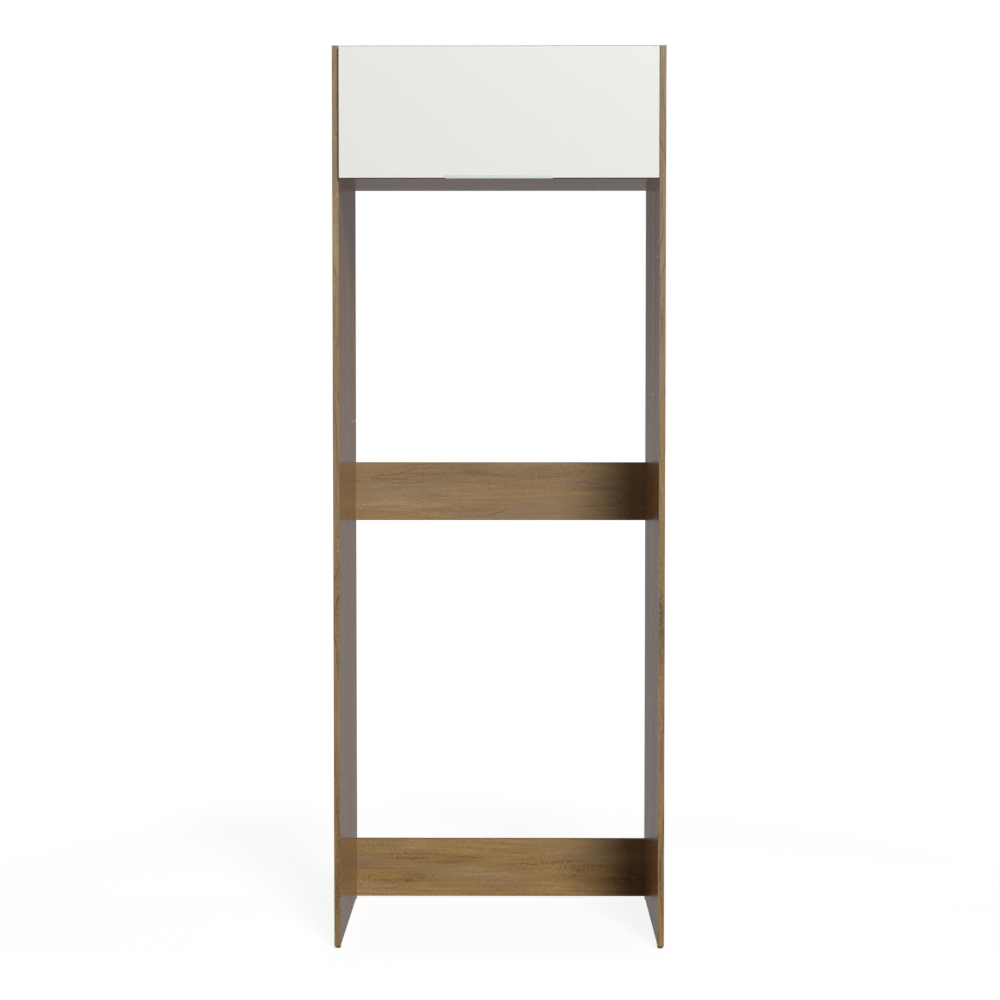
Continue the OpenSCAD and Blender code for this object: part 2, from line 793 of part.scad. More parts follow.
module stay_bracket(side) {
    color(steel) placed() on_side(side) difference() {
        union() {
            stay_plate(bracket_s, stay_plate_t) {
                translate([door_back_y, bracket_z - stay_bar_w / 2]) square([bracket_back, stay_bar_w]);
                translate(stay_end) circle(d = stay_bar_w);
            }
            translate([bracket_s - inner_x, door_back_y, bracket_z - bracket_foot_h / 2])
                cube([bracket_foot_w, stay_plate_t, bracket_foot_h]);
        }
        stay_rod(bracket_y, bracket_z, 0, rivet_r + pin_gap, stay_reach);
        at_bracket_screws() translate([0, 0, -over]) screw_bore(stay_plate_t + over + fit_gap);
    }
}

module stay_base_screws() {
    color(steel) placed() both_sides() at_stay_base_screws() board_screw(stay_plate_t);
}

module stay_bracket_screws() {
    color(steel) placed() both_sides() at_bracket_screws() board_screw(stay_plate_t);
}

// Wall brackets, drawn for the left one

module at_wall_hole() {
    translate([-wall_hole_span / 2, cabinet_d + over, wall_hole_z]) children();
}

module at_wall_bracket_screw() {
    translate([-wall_hole_span / 2, box_rear_y - wall_hole_drop, top_z - wall_bracket_t]) children();
}

module wall_bracket(side) {
    color(steel) placed() on_side(side) difference() {
        translate([-wall_hole_span / 2 - wall_bracket_w / 2, 0, 0]) {
            translate([0, box_rear_y - wall_bracket_leg, top_z - wall_bracket_t])
                cube([wall_bracket_w, wall_bracket_leg, wall_bracket_t]);
            translate([0, box_rear_y - wall_bracket_t, top_z - wall_bracket_leg])
                cube([wall_bracket_w, wall_bracket_t, wall_bracket_leg]);
        }
        at_wall_hole() inward_rod(wall_hole_d / 2, back_t + wall_bracket_t + 2 * over);
        at_wall_bracket_screw() translate([0, 0, -over]) screw_bore(wall_bracket_t + 2 * over);
    }
}

module wall_bracket_screws() {
    color(steel) placed() both_sides() at_wall_bracket_screw() board_screw(wall_bracket_t);
}

side_panel("left");  // left_side_panel
side_panel("right");  // right_side_panel
side_edge_band("left");  // left_edge_band
side_edge_band("right");  // right_edge_band
top_panel();
bottom_panel();
box_edge_band(top_z);  // top_edge_band
box_edge_band(underside_z);  // bottom_edge_band
back_panel();
rail(middle_rail_z);  // middle_rail
rail(lower_rail_z);  // lower_rail
rail_edge_bands(middle_rail_z);  // middle_rail_edge_bands
rail_edge_bands(lower_rail_z);  // lower_rail_edge_bands
foot("left", foot_inset);  // foot_front_left
foot("right", foot_inset);  // foot_front_right
foot("left", cabinet_d - foot_inset);  // foot_rear_left
foot("right", cabinet_d - foot_inset);  // foot_rear_right
foot_nails();
door_panel();
door_edge_band();
handle();
handle_screws();
door_bumpers();
hinge_cup("left");  // left_hinge_cup
hinge_cup("right");  // right_hinge_cup
hinge_pin("left");  // left_hinge_pin
hinge_pin("right");  // right_hinge_pin
hinge_arm("left");  // left_hinge_arm
hinge_arm("right");  // right_hinge_arm
hinge_plate("left");  // left_hinge_plate
hinge_plate("right");  // right_hinge_plate
hinge_cup_screws();
hinge_arm_screws();
hinge_plate_screws();
stay_base("left");  // left_stay_base
stay_base("right");  // right_stay_base
stay_washer("left");  // left_stay_washer
stay_washer("right");  // right_stay_washer
stay_bolt("left");  // left_stay_bolt
stay_bolt("right");  // right_stay_bolt
stay_lever("left");  // left_stay_lever
stay_lever("right");  // right_stay_lever
stay_rivet("left");  // left_stay_rivet
stay_rivet("right");  // right_stay_rivet
stay_link("left");  // left_stay_link
stay_link("right");  // right_stay_link
stay_bracket("left");  // left_stay_bracket
stay_bracket("right");  // right_stay_bracket
bracket_rivet("left");  // left_bracket_rivet
bracket_rivet("right");  // right_bracket_rivet
stay_base_screws();
stay_bracket_screws();
cam_locks();
cam_bolts();
wood_dowels();
back_panel_nails();
wall_bracket("left");  // left_wall_bracket
wall_bracket("right");  // right_wall_bracket
wall_bracket_screws();
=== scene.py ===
"""The looks of the refrigerator cabinet: materials, floor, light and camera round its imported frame."""
import math

import bmesh
import bpy
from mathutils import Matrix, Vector

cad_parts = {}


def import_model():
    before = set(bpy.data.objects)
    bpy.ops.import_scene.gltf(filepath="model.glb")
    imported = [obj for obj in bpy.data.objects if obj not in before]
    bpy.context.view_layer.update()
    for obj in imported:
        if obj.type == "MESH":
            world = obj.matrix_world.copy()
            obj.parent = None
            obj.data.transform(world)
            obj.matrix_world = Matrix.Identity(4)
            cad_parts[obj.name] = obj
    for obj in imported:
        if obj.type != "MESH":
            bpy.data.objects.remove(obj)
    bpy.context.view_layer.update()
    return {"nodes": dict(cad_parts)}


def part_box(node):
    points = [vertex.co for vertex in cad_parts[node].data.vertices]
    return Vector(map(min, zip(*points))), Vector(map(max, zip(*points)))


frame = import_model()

NODES = frame["nodes"]

# The camera, as fitted to the photograph's edges: metres and degrees, and millimetres for lens and sensor
CAMERA_PLACE = (0.0396, -5.6922, 1.3154)
CAMERA_PITCH = 2.355
CAMERA_YAW = 0.395
CAMERA_LENS = 80.94
CAMERA_SENSOR = 36.0
CAMERA_CLIP_END = 200.0

# The world's even light from all sides
AMBIENT = 0.04

# The key lamp, high at the front right, in metres and watts: the right panel shades both rails from it
KEY_PLACE = (4.45, -17.2, 10.5)
KEY_AIM = (0.0, 0.0, 1.1)
KEY_SIZE = 6.0
KEY_POWER = 3400.0

# The fill lamps behind and beside the cabinet, in metres, degrees and watts
FILL_DISTANCE = 9.0
FILL_HEIGHT = 1.7
FILL_BESIDE_Y = 0.2
FILL_AIM = (0.0, 0.0, 1.2)
FILL_SIZE = 1.2
FILL_BEAM = 34.0
FILL_REAR_POWER = 18.0
FILL_BESIDE_POWER = 14.0

# The floor: its radius, its glow where it is seen, and the share and reach of the shadow that it keeps
FLOOR_RADIUS = 60.0
FLOOR_CORNERS = 96
FLOOR_GLOW = 1.1
FLOOR_ROUGHNESS = 0.9
SHADOW_SHARE = 0.2
SHADOW_REACH = 3.0

# The dim room that the inner faces mirror: its sizes, and its light below and above the heights of its fade
ROOM_REACH = 12.0
ROOM_FRONT = -0.3
ROOM_HEIGHT = 9.0
ROOM_LIFT = 0.002
ROOM_LIGHT_LOW = 0.292
ROOM_LIGHT_HIGH = 0.19
ROOM_FADE_LOW = 1.0
ROOM_FADE_HIGH = 3.2

# Colours, in sRGB from 0 to 255
OAK_DARK = (90, 66, 36)
OAK_MID = (141, 112, 68)
OAK_LIGHT = (172, 146, 100)
OAK_GREY = (130, 112, 90)
OAK_VEIN = (66, 48, 30)
OAK_RED = (148, 94, 54)
# Painted sheen: the pale grey that the front faces' print takes with height, in place of light mirrored
# from above
OAK_PAINTED_SHEEN = (182, 170, 152)
DOOR_WHITE = (232, 233, 230)
# Painted shade: the door's near-black banding stands in for the shade on its bottom edge
PAINTED_SHADE_EDGING = (30, 25, 22)
ALUMINIUM = (157, 159, 155)
CHIP_LIGHT = (188, 163, 122)
CHIP_DARK = (120, 92, 58)
HARDBOARD = (112, 82, 52)
NICKEL = (196, 194, 188)
ZINC = (172, 174, 176)
NYLON = (158, 155, 148)
BUMPER = (205, 207, 205)
BEECH = (206, 172, 122)
FLOOR = (184, 167, 155)

# Roughness, where the boards are smooth enough to mirror both rails
BOARD_ROUGHNESS = 0.18
RAW_ROUGHNESS = 0.85
OAK_ROUGHNESS = 0.5
DOOR_ROUGHNESS = 0.42
EDGING_ROUGHNESS = 0.5
NYLON_ROUGHNESS = 0.45
BUMPER_ROUGHNESS = 0.35
LACQUER_ROUGHNESS = 0.45
HARDBOARD_ROUGHNESS = 0.8
HANDLE_ROUGHNESS = 0.38
NICKEL_ROUGHNESS = 0.28
ZINC_ROUGHNESS = 0.36
BEECH_ROUGHNESS = 0.55

# How strongly the front faces' print mirrors, with 0.5 for a plain plastic sheet
OAK_GLOSS = 0.25

# How far the roughness wanders either way
BOARD_WANDER = 0.05
SHEET_WANDER = 0.03
METAL_WANDER = 0.06

# How deep the fine relief of each surface is, in metres
OAK_RELIEF = 0.0002
SHEET_RELIEF = 0.00003
FIBRE_RELIEF = 0.00005
BEECH_RELIEF = 0.00004
METAL_RELIEF = 0.00001

# How many cells each pattern has to a metre
CHIP_CELLS = 420.0
FIBRE_CELLS = 260.0
SHEET_CELLS = 900.0
TUMBLED_CELLS = 900.0
BRUSHED_CELLS = 2600.0
BRUSHED_CELLS_ALONG = 30.0
BEECH_CELLS = 900.0
BEECH_CELLS_ALONG = 40.0
RED_CELLS = 11.0
RED_CELLS_ALONG = 0.5
GLOSS_CELLS = 18.0
GLOSS_CELLS_ALONG = 1.0

# How far the oak print moves sideways for each metre through a board, so that its faces differ
PRINT_SLANT = 0.73

# The rings whose crests are the veins: radians to a metre across the grain, and radians of bend and ripple
RING_RATE = 390.0
RING_BEND = 44.0
RING_RIPPLE = 2.4

# How much a vein darkens the print, and how softly the veined patches end
VEIN_STRENGTH = 0.7
VEIN_SOFTNESS = 0.07

# The share of a painted sheen, a pale grey standing in for light mirrored from above, that the front faces'
# print takes for each metre above the floor
PAINTED_SHEEN_PER_METRE = 0.105

# How much lighter the boards' print is than the plain print
BOARD_LIGHT = 1.35

# How near a face a point counts as lying in it, in metres
NEAR_FACE = 0.0001

# The middle that a noise wanders round
NOISE_MIDDLE = 0.5

# The sockets by which a mix node takes and gives colours
MIX_COLOUR_A = 6
MIX_COLOUR_B = 7
MIX_COLOUR_OUT = 2


def linear(colour):
    """An sRGB colour from 0 to 255 as the linear one that a shader takes."""
    shares = [c / 255 for c in colour]
    return tuple(s / 12.92 if s <= 0.04045 else ((s + 0.055) / 1.055) ** 2.4 for s in shares) + (1.0,)


def darker(colour, cut):
    """An sRGB colour as a linear one, with a share of its light cut off."""
    return tuple(c * (1 - cut) for c in linear(colour)[:3]) + (1.0,)


def join(tree, value, socket):
    """Link value to socket where it is a socket itself, or else set it as the socket's own value."""
    if isinstance(value, bpy.types.NodeSocket):
        tree.links.new(value, socket)
    else:
        socket.default_value = value


def math_node(tree, operation, a, b=0.0, clamp=False):
    """One operation on two values, each a number or a socket."""
    made = tree.nodes.new("ShaderNodeMath")
    made.operation = operation
    made.use_clamp = clamp
    join(tree, a, made.inputs[0])
    join(tree, b, made.inputs[1])
    return made.outputs[0]


def map_range(tree, value, low, high, to_low, to_high, smooth=False):
    """value moved from the range low..high to to_low..to_high, and held at its ends."""
    made = tree.nodes.new("ShaderNodeMapRange")
    made.interpolation_type = "SMOOTHSTEP" if smooth else "LINEAR"
    tree.links.new(value, made.inputs["Value"])
    for key, number in (("From Min", low), ("From Max", high), ("To Min", to_low), ("To Max", to_high)):
        made.inputs[key].default_value = number
    return made.outputs["Result"]


def mix_shaders(tree, share, a, b):
    """Shader a and a share of shader b in its place."""
    made = tree.nodes.new("ShaderNodeMixShader")
    for value, socket in zip((share, a, b), made.inputs):
        tree.links.new(value, socket)
    return made.outputs[0]


class Shader:
    """One node material, with short calls for the nodes that vary its colour, roughness and bump."""

    def __init__(self, name, roughness=0.5, metallic=0.0, specular=0.5):
        self.material = bpy.data.materials.new(name)
        self.material.use_nodes = True
        self.tree = self.material.node_tree
        self.surface = self.tree.nodes["Principled BSDF"]
        self.surface.inputs["Roughness"].default_value = roughness
        self.surface.inputs["Metallic"].default_value = metallic
        self.surface.inputs["Specular IOR Level"].default_value = specular
        coordinates = self.node("ShaderNodeTexCoord").outputs["Object"]
        self.place = self.node("ShaderNodeSeparateXYZ", Vector=coordinates)

    def node(self, kind, **inputs):
        """A new node, with its inputs linked or set by their names."""
        made = self.tree.nodes.new(kind)
        for key, value in inputs.items():
            join(self.tree, value, made.inputs[key])
        return made

    def set(self, socket, value):
        join(self.tree, value, self.surface.inputs[socket])

    def axis(self, letter):
        """The place on the object along x, y or z, in metres."""
        return self.place.outputs[letter.upper()]

    def math(self, operation, a, b=0.0, clamp=False):
        return math_node(self.tree, operation, a, b, clamp)

    def chain(self, operation, first, *others):
        """The values joined one after another by one operation."""
        result = first
        for other in others:
            result = self.math(operation, result, other)
        return result

    def vector(self, a, b, c):
        return self.node("ShaderNodeCombineXYZ", X=a, Y=b, Z=c).outputs[0]

    def cells(self, count, along=None, count_along=None):
        """The place on the object in cells: count to a metre, but count_along on the axis along."""
        counts = [count_along if letter == along else count for letter in "xyz"]
        return self.vector(*[self.math("MULTIPLY", self.axis(a), n) for a, n in zip("xyz", counts)])

    def noise(self, place, detail=2.0, roughness=0.5):
        made = self.node("ShaderNodeTexNoise", Vector=place, Scale=1.0, Detail=detail, Roughness=roughness)
        return made.outputs["Fac"]

    def span(self, value, low, high, to_low=0.0, to_high=1.0):
        """value moved smoothly from the range low..high to to_low..to_high, and held at its ends."""
        return map_range(self.tree, value, low, high, to_low, to_high, smooth=True)

    def mix(self, share, a, b):
        """Colour a and a share of colour b in its place."""
        made = self.tree.nodes.new("ShaderNodeMix")
        made.data_type = "RGBA"
        join(self.tree, share, made.inputs["Factor"])
        join(self.tree, a, made.inputs[MIX_COLOUR_A])
        join(self.tree, b, made.inputs[MIX_COLOUR_B])
        return made.outputs[MIX_COLOUR_OUT]

    def scale_light(self, colour, share):
        """colour with its light multiplied by share."""
        made = self.tree.nodes.new("ShaderNodeVectorMath")
        made.operation = "SCALE"
        join(self.tree, colour, made.inputs[0])
        join(self.tree, share, made.inputs["Scale"])
        return made.outputs[0]

    def rough_near(self, middle, wander, noise):
        """A roughness that follows noise, at most wander away from middle."""
        return self.span(noise, low=0.3, high=0.7, to_low=middle - wander, to_high=middle + wander)

    def bump(self, height, depth):
        made = self.node("ShaderNodeBump", Height=height, Distance=depth, Strength=1.0)
        self.set("Normal", made.outputs["Normal"])


class Print:
    """Where on an oak print a board is cut: u runs along the grain and v across it, in metres."""

    def __init__(self, shader, along, across, through, start):
        self.shader = shader
        self.u = shader.math("ADD", shader.axis(along), start[0])
        slant = shader.math("MULTIPLY", shader.axis(through), PRINT_SLANT)
        self.v = shader.chain("ADD", shader.axis(across), slant, start[1])

    def layer(self, along_cells, across_cells, shift, detail=2.0, roughness=0.5):
        """Noise with so many cells to a metre, in a pattern of its own for each shift."""
        across = self.shader.math("MULTIPLY", self.v, across_cells)
        along = self.shader.math("MULTIPLY", self.u, along_cells)
        return self.shader.noise(self.shader.vector(across, along, shift), detail, roughness)


def oak_tone(sheet, contrast):
    """The print's colour without its veins, and the height of its pores."""
    shader = sheet.shader

    def centred(value, amount):
        """A noise moved to wander round 0, amount wide before contrast widens it."""
        return shader.math("MULTIPLY", shader.math("SUBTRACT", value, NOISE_MIDDLE), amount * contrast)

    patches = sheet.layer(along_cells=2.0, across_cells=15.0, shift=0.0)
    streaks = sheet.layer(along_cells=7.0, across_cells=130.0, shift=3.0, detail=4.0, roughness=0.6)
    dashes = sheet.layer(along_cells=90.0, across_cells=460.0, shift=5.0)
    fibres = sheet.layer(along_cells=40.0, across_cells=1400.0, shift=7.0)
    sawn = sheet.layer(along_cells=330.0, across_cells=80.0, shift=11.0)
    sawn_patches = sheet.layer(along_cells=6.0, across_cells=18.0, shift=13.0)
    sawn_here = shader.span(sawn_patches, low=0.42, high=0.62)
    tone = shader.chain(
        "ADD",
        centred(patches, amount=0.7),
        centred(streaks, amount=0.65),
        centred(dashes, amount=0.5),
        centred(fibres, amount=0.3),
        shader.math("MULTIPLY", centred(sawn, amount=0.75), sawn_here),
    )
    dark = shader.span(tone, low=-0.45, high=0.02)
    light = shader.span(tone, low=-0.02, high=0.45)
    colour = shader.mix(light, shader.mix(dark, linear(OAK_DARK), linear(OAK_MID)), linear(OAK_LIGHT))
    grey_patches = sheet.layer(along_cells=3.0, across_cells=22.0, shift=23.0)
    grey_here = shader.span(grey_patches, low=0.45, high=0.7, to_high=0.4)
    return shader.mix(grey_here, colour, linear(OAK_GREY)), shader.math("ADD", dashes, fibres)


def oak_veins(sheet, veins_above):
    """Up to 1 on the print's dark veins, and 0 beside them and where a noise is under veins_above."""
    shader = sheet.shader
    bend = sheet.layer(along_cells=2.6, across_cells=7.0, shift=17.0)
    ripple = sheet.layer(along_cells=14.0, across_cells=60.0, shift=29.0)
    rings = shader.chain(
        "ADD",
        shader.math("MULTIPLY", sheet.v, RING_RATE),
        shader.math("MULTIPLY", bend, RING_BEND),
        shader.math("MULTIPLY", ripple, RING_RIPPLE),
    )
    crests = shader.span(shader.math("SINE", rings), low=0.8, high=1.0)
    veined = sheet.layer(along_cells=3.4, across_cells=16.0, shift=19.0, detail=1.0)
    veined_here = shader.span(veined, low=veins_above - VEIN_SOFTNESS, high=veins_above + VEIN_SOFTNESS)
    broken = sheet.layer(along_cells=24.0, across_cells=200.0, shift=31.0)
    broken_here = shader.span(broken, low=0.3, high=0.6, to_low=0.35)
    return shader.chain("MULTIPLY", crests, veined_here, broken_here)


def grain(shader, along, across, through, contrast=1.0, veins_above=0.6, start=(0.0, 0.0)):
    """Oak print along one axis, as its colour and its height.

    contrast scales how far the tone wanders, and a higher veins_above leaves fewer dark veins.
    start is where on the print the board is cut, along and across it.
    """
    sheet = Print(shader, along, across, through, start)
    colour, pores = oak_tone(sheet, contrast)
    veins = oak_veins(sheet, veins_above)
    colour = shader.mix(shader.math("MULTIPLY", veins, VEIN_STRENGTH), colour, linear(OAK_VEIN))
    return colour, shader.math("SUBTRACT", pores, veins)


def painted_sheen_with_height(shader, colour):
    """colour made paler and greyer with height: a painted sheen that stands in for the soft light the front
    faces mirror from above.
    """
    share = shader.math("MULTIPLY", shader.axis("z"), PAINTED_SHEEN_PER_METRE, clamp=True)
    return shader.mix(share, colour, linear(OAK_PAINTED_SHEEN))


def oak(name, along, across, through, light=1.0, **look):
    """An oak-print sheet of the front, its light multiplied by light, its grain with the look given, and a
    painted sheen that grows with height.
    """
    shader = Shader(name, roughness=OAK_ROUGHNESS, specular=OAK_GLOSS)
    colour, height = grain(shader, along, across, through, **look)
    # Painted sheen: the print grows paler with height, standing in for light mirrored from above
    shader.set("Base Color", shader.scale_light(painted_sheen_with_height(shader, colour), light))
    shader.bump(height, OAK_RELIEF)
    return shader.material


def chips(shader):
    """The raw edge of chipboard: pressed chips of several browns."""
    pressed = shader.node("ShaderNodeTexVoronoi", Vector=shader.cells(CHIP_CELLS), Scale=1.0)
    share = shader.node("ShaderNodeSeparateColor", Color=pressed.outputs["Color"]).outputs[0]
    return shader.mix(share, linear(CHIP_DARK), linear(CHIP_LIGHT))


def raw_share(shader, name, raw_faces):
    """1 on a board's raw faces, each given as an axis and its low or high end, and 0 elsewhere."""
    corners = dict(zip(("low", "high"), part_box(name)))
    share = 0.0
    for letter, end in raw_faces:
        face = getattr(corners[end], letter)
        if end == "low":
            on_face = shader.math("LESS_THAN", shader.axis(letter), face + NEAR_FACE)
        else:
            on_face = shader.math("GREATER_THAN", shader.axis(letter), face - NEAR_FACE)
        share = shader.math("MAXIMUM", share, on_face)
    return share


def board(name, along, across, through, raw_faces):
    """A board with glossy oak print on its faces and bare chipboard at its raw ones."""
    shader = Shader("board_" + name)
    colour, height = grain(shader, along, across, through)
    raw = raw_share(shader, name, raw_faces)
    reddish = shader.noise(shader.cells(RED_CELLS, along, RED_CELLS_ALONG))
    red_here = shader.span(reddish, low=0.35, high=0.65, to_low=0.28, to_high=0.42)
    colour = shader.mix(red_here, colour, linear(OAK_RED))
    shader.set("Base Color", shader.mix(raw, shader.scale_light(colour, BOARD_LIGHT), chips(shader)))
    sheen = shader.noise(shader.cells(GLOSS_CELLS, along, GLOSS_CELLS_ALONG))
    smooth = shader.rough_near(BOARD_ROUGHNESS, BOARD_WANDER, sheen)
    shader.set("Roughness", shader.math("MAXIMUM", smooth, shader.math("MULTIPLY", raw, RAW_ROUGHNESS)))
    shader.bump(height, OAK_RELIEF)
    return shader.material


def back_board():
    """The thin back panel: lacquered white inside, brown fibres behind."""
    front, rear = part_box("back_panel")
    shader = Shader("back_board", roughness=LACQUER_ROUGHNESS)
    fibre = shader.noise(shader.cells(FIBRE_CELLS), detail=5.0, roughness=0.7)
    brown = shader.mix(shader.span(fibre, low=0.35, high=0.65), linear(CHIP_DARK), linear(HARDBOARD))
    behind = shader.math("GREATER_THAN", shader.axis("y"), (front.y + rear.y) / 2)
    shader.set("Base Color", shader.mix(behind, linear(DOOR_WHITE), brown))
    rough = shader.span(behind, low=0.0, high=1.0, to_low=LACQUER_ROUGHNESS, to_high=HARDBOARD_ROUGHNESS)
    shader.set("Roughness", rough)
    shader.bump(fibre, FIBRE_RELIEF)
    return shader.material


def laminate(name, colour, roughness, fleck=0.04):
    """A smooth pressed sheet: an even colour with a fine fleck and a faint texture under the gloss."""
    shader = Shader(name, roughness=roughness)
    speck = shader.noise(shader.cells(SHEET_CELLS))
    flecked = shader.span(speck, low=0.35, high=0.65)
    shader.set("Base Color", shader.mix(flecked, darker(colour, fleck), linear(colour)))
    shader.set("Roughness", shader.rough_near(roughness, SHEET_WANDER, speck))
    shader.bump(speck, SHEET_RELIEF)
    return shader.material


def metal(name, colour, roughness, brushed=None, streak=0.12):
    """Metal with a fine grain: brushed along one axis, or tumbled."""
    shader = Shader(name, roughness=roughness, metallic=1.0)
    cells = BRUSHED_CELLS if brushed else TUMBLED_CELLS
    line = shader.noise(shader.cells(cells, brushed, BRUSHED_CELLS_ALONG))
    lined = shader.span(line, low=0.3, high=0.7)
    shader.set("Base Color", shader.mix(lined, darker(colour, streak), linear(colour)))
    shader.set("Roughness", shader.rough_near(roughness, METAL_WANDER, line))
    shader.bump(line, METAL_RELIEF)
    return shader.material


def beech():
    """The dowels' wood, with its grain along them."""
    shader = Shader("beech_dowel", roughness=BEECH_ROUGHNESS)
    fleck = shader.noise(shader.cells(BEECH_CELLS, "x", BEECH_CELLS_ALONG), detail=3.0)
    flecked = shader.span(fleck, low=0.35, high=0.6)
    shader.set("Base Color", shader.mix(flecked, darker(BEECH, cut=0.2), linear(BEECH)))
    shader.bump(fleck, BEECH_RELIEF)
    return shader.material


def dress(names, material):
    """Give each named node one material."""
    for name in names:
        NODES[name].data.materials.clear()
        NODES[name].data.materials.append(material)


def dress_boards():
    """The boards with their raw edges, and the oak print on the front edges and both rails."""
    for name in ("left_side_panel", "right_side_panel"):
        dress([name], board(name, "z", "y", "x", [("y", "high"), ("z", "high"), ("z", "low")]))
    for name in ("top_panel", "bottom_panel"):
        dress([name], board(name, "x", "y", "z", [("y", "high")]))
    dress(["back_panel"], back_board())

    upright = {"along": "z", "across": "x", "through": "y", "contrast": 1.6, "veins_above": 0.46}
    dress(["left_edge_band"], oak("oak_left_edge_band", light=0.93, start=(1.5, 0.0), **upright))
    dress(["right_edge_band"], oak("oak_right_edge_band", **upright))

    level = {"along": "x", "across": "z", "through": "y"}
    rail = {"contrast": 1.25, **level}
    dress(["middle_rail"], oak("oak_middle_rail", start=(0.39, -0.035), **rail))
    # Painted light: the lower rail's print is 1.2 times lighter, making up for the light it gets less of
    # than the middle rail
    dress(["lower_rail"], oak("oak_lower_rail", light=1.2, veins_above=0.62, start=(0.9, 0.0), **rail))
    dress(["middle_rail_edge_bands", "lower_rail_edge_bands"], oak("oak_level_band", light=0.8, **level))
    dress(["top_edge_band", "bottom_edge_band"], oak("oak_level", **level))


def dress_door():
    """The flap's white sheet, its near-black banding, the pull and the bumpers. The banding's near black is
    painted shade, standing in for the shade on the door's bottom edge.
    """
    dress(["door_panel"], laminate("door_laminate", DOOR_WHITE, DOOR_ROUGHNESS, fleck=0.015))
    # Painted shade: the banding is near black in place of the shade on the door's bottom edge
    dress(["door_edge_band"], laminate("dark_edging", PAINTED_SHADE_EDGING, EDGING_ROUGHNESS))
    dress(["handle"], metal("satin_aluminium", ALUMINIUM, HANDLE_ROUGHNESS, brushed="x", streak=0.05))
    dress(["door_bumpers"], laminate("soft_bumper", BUMPER, BUMPER_ROUGHNESS))


def dress_fittings():
    """The feet, washers, dowels, locks, stays, hinges, brackets and fasteners."""
    nylon = laminate("nylon", NYLON, NYLON_ROUGHNESS)
    washer_nylon = laminate("washer_nylon", NYLON, NYLON_ROUGHNESS)
    nickel = metal("nickel_steel", NICKEL, NICKEL_ROUGHNESS)
    zinc = metal("zinc_steel", ZINC, ZINC_ROUGHNESS)
    dress([n for n in NODES if n.startswith("foot_") and n != "foot_nails"], nylon)
    dress(["left_stay_washer", "right_stay_washer"], washer_nylon)
    dress(["wood_dowels"], beech())
    dress([n for n in NODES if "stay_" in n and "washer" not in n], zinc)
    dress(["cam_locks", "cam_bolts"], zinc)
    dress([n for n in NODES if "hinge" in n or "nails" in n], nickel)
    dress([n for n in NODES if "bracket" in n and "stay" not in n], nickel)
    dress(["handle_screws"], nickel)


def seen_white(tree):
    """1 for what the camera sees, itself, in mirrors or through glass: that is plain white. 0 for the rest.

    A ray that a matt surface has scattered isn't such a ray, so the white never lights the object.
    """
    rays = tree.nodes.new("ShaderNodeLightPath").outputs
    seen = rays["Is Camera Ray"]
    for name in ("Is Glossy Ray", "Is Transmission Ray"):
        seen = math_node(tree, "MAXIMUM", seen, rays[name])
    unscattered = math_node(tree, "LESS_THAN", rays["Diffuse Depth"], 0.5)
    return math_node(tree, "MULTIPLY", seen, unscattered)


def world():
    """An even ambient light, and plain white where the world itself is seen."""
    made = bpy.data.worlds.new("studio")
    bpy.context.scene.world = made
    made.use_nodes = True
    tree = made.node_tree
    background = tree.nodes["Background"].inputs
    background["Color"].default_value = (1, 1, 1, 1)
    tree.links.new(map_range(tree, seen_white(tree), 0.0, 1.0, AMBIENT, 1.0), background["Strength"])


def stage_piece(name, outlines):
    """A flat piece of the studio, one face for each outline, and the node tree of its material."""
    mesh = bpy.data.meshes.new(name)
    made = bpy.data.objects.new(name, mesh)
    bpy.context.scene.collection.objects.link(made)
    shape = bmesh.new()
    for outline in outlines:
        shape.faces.new([shape.verts.new(corner) for corner in outline])
    shape.to_mesh(mesh)
    shape.free()
    material = bpy.data.materials.new(name)
    material.use_nodes = True
    mesh.materials.append(material)
    return made, material.node_tree


def floor():
    """A pale floor, seen as white, that keeps a soft shadow round the cabinet and loses it far off."""
    angles = [math.tau * i / FLOOR_CORNERS for i in range(FLOOR_CORNERS)]
    ring = [(FLOOR_RADIUS * math.cos(a), FLOOR_RADIUS * math.sin(a), 0.0) for a in angles]
    tree = stage_piece("floor", [ring])[1]
    pale = tree.nodes["Principled BSDF"]
    pale.inputs["Base Color"].default_value = linear(FLOOR)
    pale.inputs["Roughness"].default_value = FLOOR_ROUGHNESS
    pale.inputs["Specular IOR Level"].default_value = 0.0
    bright = tree.nodes.new("ShaderNodeBsdfDiffuse")
    bright.inputs["Color"].default_value = (1, 1, 1, 1)
    glow = tree.nodes.new("ShaderNodeEmission")
    glow.inputs["Strength"].default_value = FLOOR_GLOW
    distance = tree.nodes.new("ShaderNodeVectorMath")
    distance.operation = "LENGTH"
    tree.links.new(tree.nodes.new("ShaderNodeTexCoord").outputs["Object"], distance.inputs[0])
    shadow = map_range(tree, distance.outputs["Value"], SHADOW_REACH / 2, SHADOW_REACH, SHADOW_SHARE, 0.0)
    seen = mix_shaders(tree, shadow, glow.outputs[0], bright.outputs[0])
    both = mix_shaders(tree, seen_white(tree), pale.outputs[0], seen)
    tree.links.new(both, tree.nodes["Material Output"].inputs["Surface"])


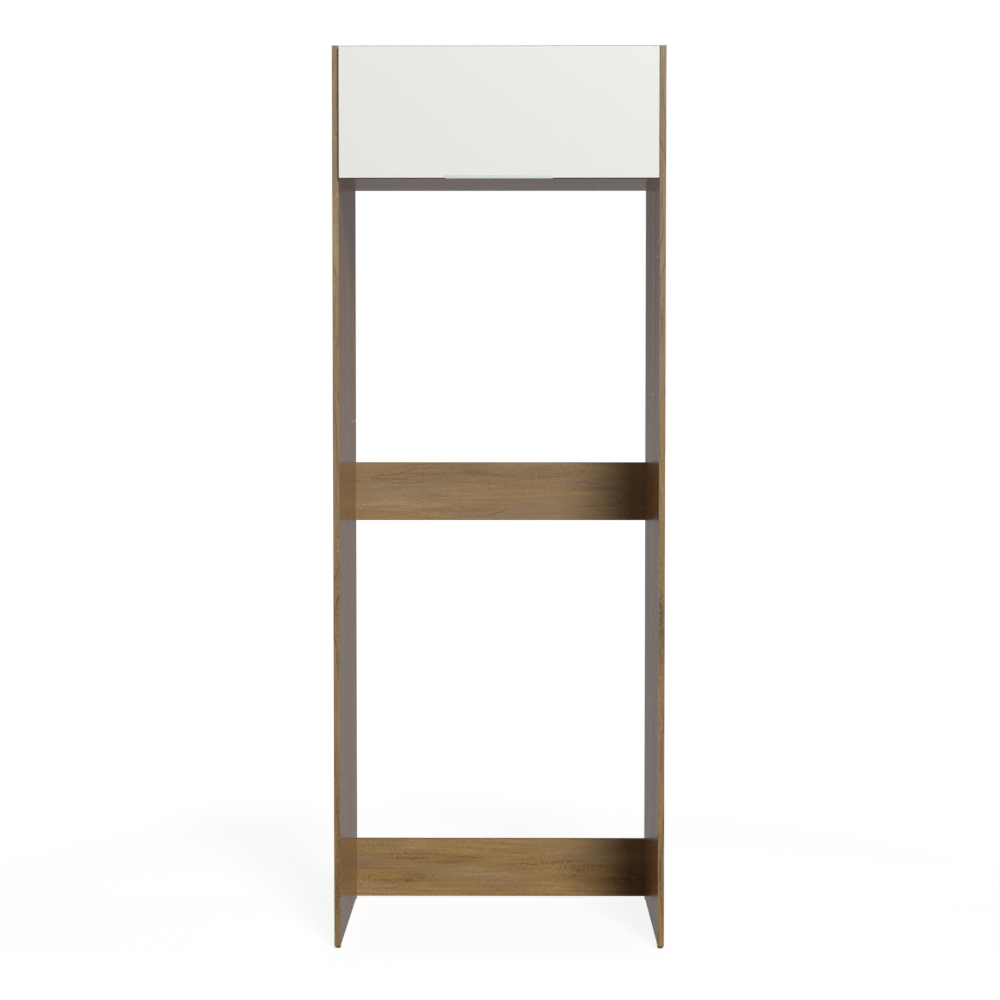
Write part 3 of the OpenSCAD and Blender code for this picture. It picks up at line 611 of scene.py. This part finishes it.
def dim_room():
    """A dim wall far behind and a dim floor up to it, for mirrored rays alone.

    The inner faces mirror a dim room. The wall's light fades upwards, between the two heights of the fade.
    """
    left, right = -ROOM_REACH, ROOM_REACH
    front, rear = ROOM_FRONT, ROOM_REACH
    wall = [(left, rear, 0.0), (right, rear, 0.0), (right, rear, ROOM_HEIGHT), (left, rear, ROOM_HEIGHT)]
    under = [(x, y, ROOM_LIFT) for x, y in ((left, front), (right, front), (right, rear), (left, rear))]
    room, tree = stage_piece("dim_room", [wall, under])
    tree.nodes.remove(tree.nodes["Principled BSDF"])
    glow = tree.nodes.new("ShaderNodeEmission")
    place = tree.nodes.new("ShaderNodeSeparateXYZ")
    tree.links.new(tree.nodes.new("ShaderNodeTexCoord").outputs["Object"], place.inputs[0])
    heights = (ROOM_FADE_LOW, ROOM_FADE_HIGH)
    strength = map_range(tree, place.outputs["Z"], *heights, ROOM_LIGHT_LOW, ROOM_LIGHT_HIGH)
    tree.links.new(strength, glow.inputs["Strength"])
    tree.links.new(glow.outputs[0], tree.nodes["Material Output"].inputs["Surface"])
    for ray in ("camera", "diffuse", "transmission", "volume_scatter", "shadow"):
        setattr(room, "visible_" + ray, False)


def lamp(name, place, aim, size, power):
    """A round soft lamp at place, turned towards aim."""
    data = bpy.data.lights.new(name, "AREA")
    data.shape = "DISK"
    data.size = size
    data.energy = power
    made = bpy.data.objects.new(name, data)
    bpy.context.scene.collection.objects.link(made)
    made.location = place
    made.rotation_euler = (Vector(aim) - Vector(place)).to_track_quat("-Z", "Y").to_euler()
    made.visible_camera = False
    return made


def fill_lamp(name, x, y, power):
    """A dim lamp for a side that the key leaves dark. Its narrow, level beam hardly lights the floor."""
    made = lamp(name, (x, y, FILL_HEIGHT), FILL_AIM, FILL_SIZE, power)
    made.data.spread = math.radians(FILL_BEAM)
    made.visible_glossy = False


def camera():
    """The camera, which looks along y, a little down by its pitch and a little left by its yaw."""
    data = bpy.data.cameras.new("camera")
    data.sensor_width = CAMERA_SENSOR
    data.lens = CAMERA_LENS
    data.clip_end = CAMERA_CLIP_END
    made = bpy.data.objects.new("camera", data)
    bpy.context.scene.collection.objects.link(made)
    made.location = CAMERA_PLACE
    made.rotation_euler = (math.radians(90 - CAMERA_PITCH), 0.0, math.radians(CAMERA_YAW))
    bpy.context.scene.camera = made


dress_boards()
dress_door()
dress_fittings()
world()
floor()
dim_room()
lamp("key", KEY_PLACE, KEY_AIM, KEY_SIZE, KEY_POWER)
fill_lamp("rear", 0.0, FILL_DISTANCE, FILL_REAR_POWER)
fill_lamp("beside_left", -FILL_DISTANCE, FILL_BESIDE_Y, FILL_BESIDE_POWER)
fill_lamp("beside_right", FILL_DISTANCE, FILL_BESIDE_Y, FILL_BESIDE_POWER)
camera()
bpy.context.scene.view_settings.view_transform = "Standard"
